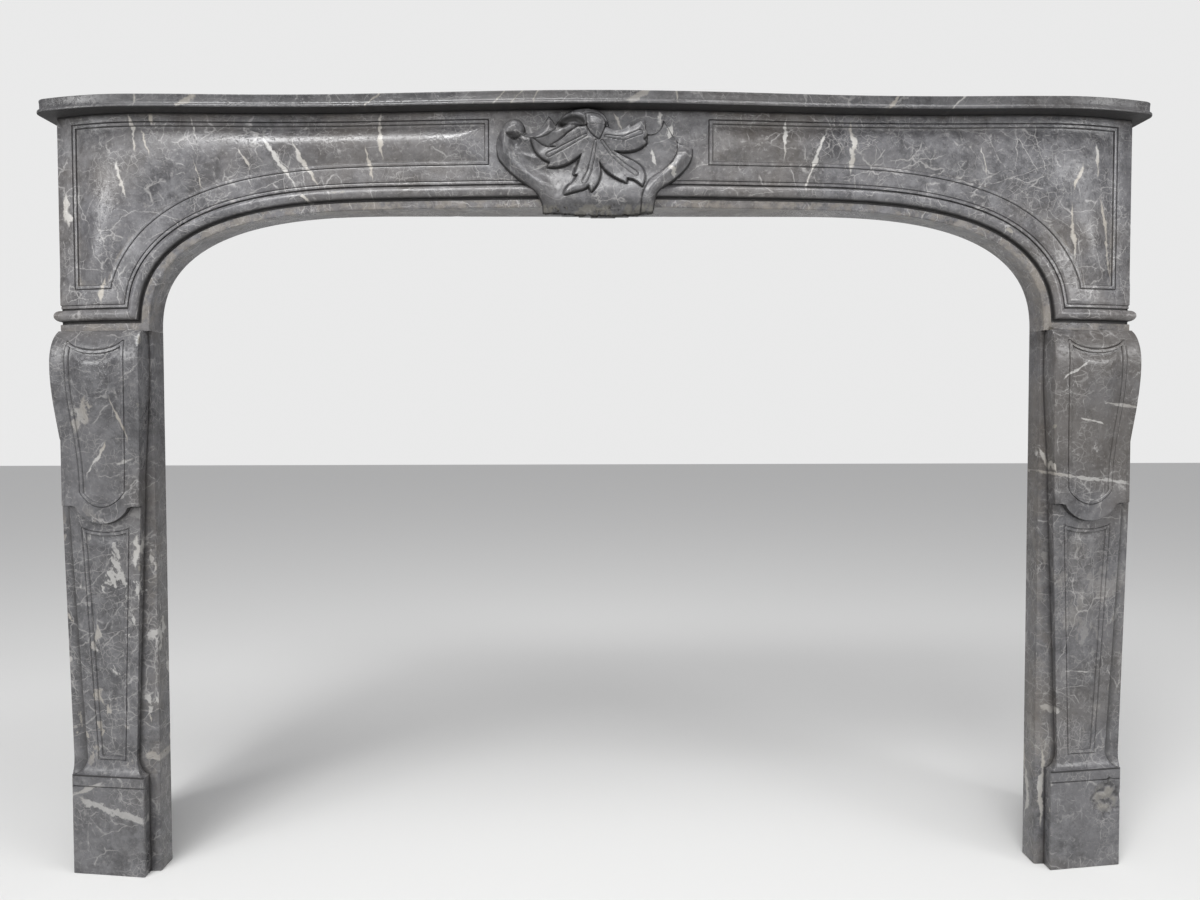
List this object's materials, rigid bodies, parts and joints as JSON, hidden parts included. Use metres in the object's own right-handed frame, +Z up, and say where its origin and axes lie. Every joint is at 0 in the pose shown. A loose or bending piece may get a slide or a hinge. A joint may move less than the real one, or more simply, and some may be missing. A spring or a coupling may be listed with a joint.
{
  "type": "fireplace mantel",
  "caption": "Marble fireplace surround with scrolled console legs, a panelled lintel over an arched opening with a shell cartouche, and a shaped shelf.",
  "frame": {"origin": "on the floor, at the middle of the overall width and depth", "axes": "+X along the wall, towards the right as seen from the room; +Y into the wall; +Z up"},
  "size_m": [1.6, 0.27, 1.1105],
  "materials": {
    "marble": "polished grey marble with white and cream veins, worn edges and a few chips"
  },
  "bodies": {
    "root": {"shelf": "marble", "lintel": "marble", "left_leg": "marble", "right_leg": "marble"}
  },
  "joints": []
}
